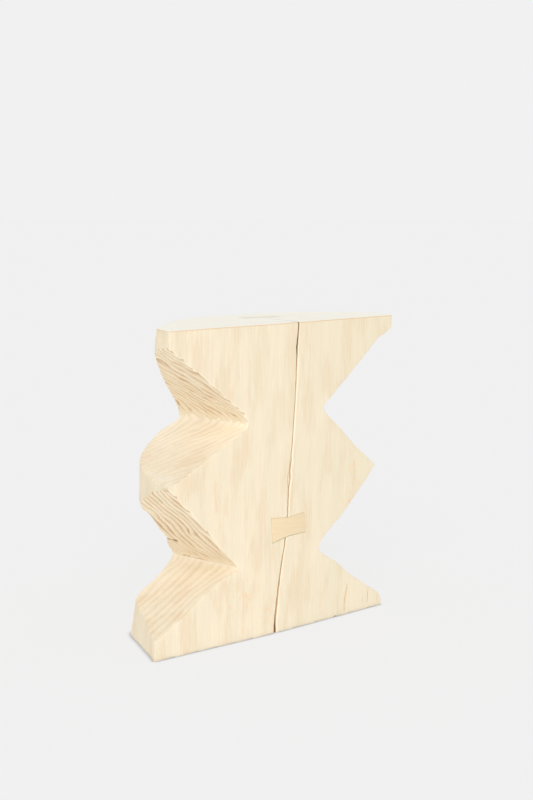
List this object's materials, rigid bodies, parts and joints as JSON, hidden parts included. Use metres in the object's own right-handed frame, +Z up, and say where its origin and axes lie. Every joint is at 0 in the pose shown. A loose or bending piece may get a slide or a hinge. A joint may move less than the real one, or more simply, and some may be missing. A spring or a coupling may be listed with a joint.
{
  "type": "carved half-log block stool",
  "caption": "Free-standing half-log block of pale wood with V-notched sides, a sawn front, a round back and inlaid bow-tie keys; serves as a stool, stand or sculpture.",
  "frame": {"origin": "on the floor, under the middle of the block's bounding box", "axes": "+X along the sawn front, to the right of someone facing it; +Y from the front towards the round back; +Z up"},
  "size_m": [0.5118, 0.1904, 0.45],
  "materials": {
    "pale_wood": "matt, bleached, sanded front and tooled slopes",
    "key_wood": "matt, a little yellower than the block"
  },
  "bodies": {
    "root": {"carved_block": "pale_wood", "front_key": "key_wood", "top_key": "key_wood"}
  },
  "joints": []
}
